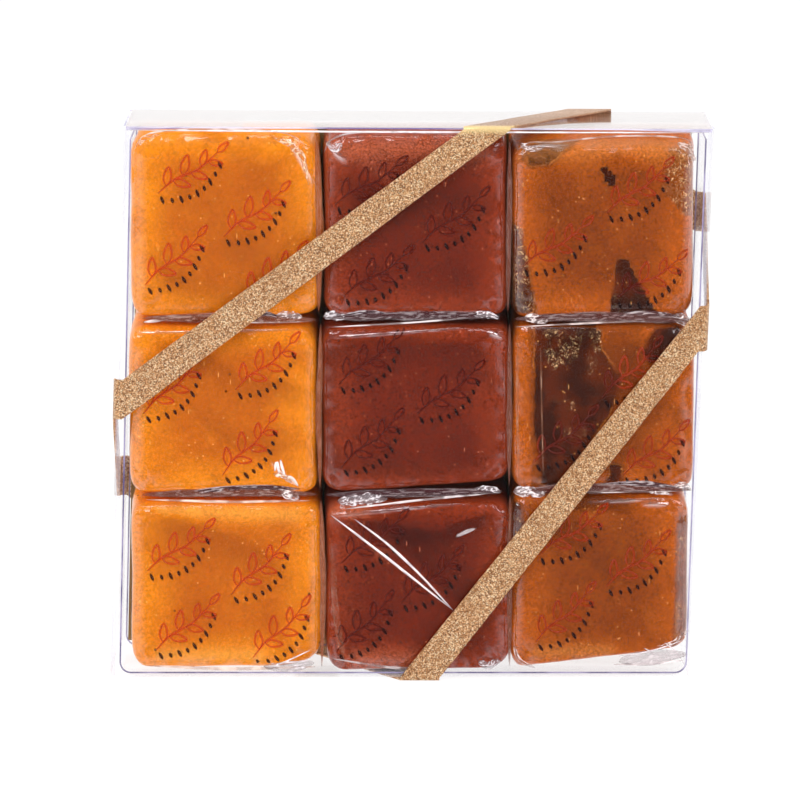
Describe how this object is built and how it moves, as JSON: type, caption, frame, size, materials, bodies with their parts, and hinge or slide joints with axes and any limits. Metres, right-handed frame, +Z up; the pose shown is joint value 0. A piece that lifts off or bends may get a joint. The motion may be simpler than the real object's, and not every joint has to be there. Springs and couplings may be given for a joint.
{
  "type": "box of wrapped caramels",
  "caption": "Clear folding box of film-wrapped square caramels in three colours, tied with a flat gold ribbon over two opposite corners.",
  "frame": {"origin": "on the surface that the pack stands on, under the middle of the box", "axes": "+X to the pack's right seen from its front panel, +Y from the front panel into the box, +Z up"},
  "size_m": [0.1116, 0.0292, 0.1035],
  "materials": {
    "clear_box": "clear glossy plastic sheet",
    "gold_card": "satin gold-brown card",
    "amber_caramel": "smooth caramel under glossy clear film",
    "cocoa_caramel": "smooth cocoa caramel under glossy clear film",
    "marbled_caramel": "caramel with dark brown marbling under glossy clear film",
    "gold_ribbon": "flat metallic gold ribbon with a fine sparkling weave"
  },
  "bodies": {
    "root": {"box_body": "clear_box", "box_lid": "clear_box", "tuck_flap": "clear_box", "dust_flap_left": "clear_box", "dust_flap_right": "clear_box", "clear_liner": "clear_box", "backing_card": "gold_card", "caramel_amber_top": "amber_caramel", "caramel_amber_middle": "amber_caramel", "caramel_amber_bottom": "amber_caramel", "caramel_cocoa_top": "cocoa_caramel", "caramel_cocoa_middle": "cocoa_caramel", "caramel_cocoa_bottom": "cocoa_caramel", "caramel_marbled_top": "marbled_caramel", "caramel_marbled_middle": "marbled_caramel", "caramel_marbled_bottom": "marbled_caramel", "ribbon": "gold_ribbon"}
  },
  "joints": []
}
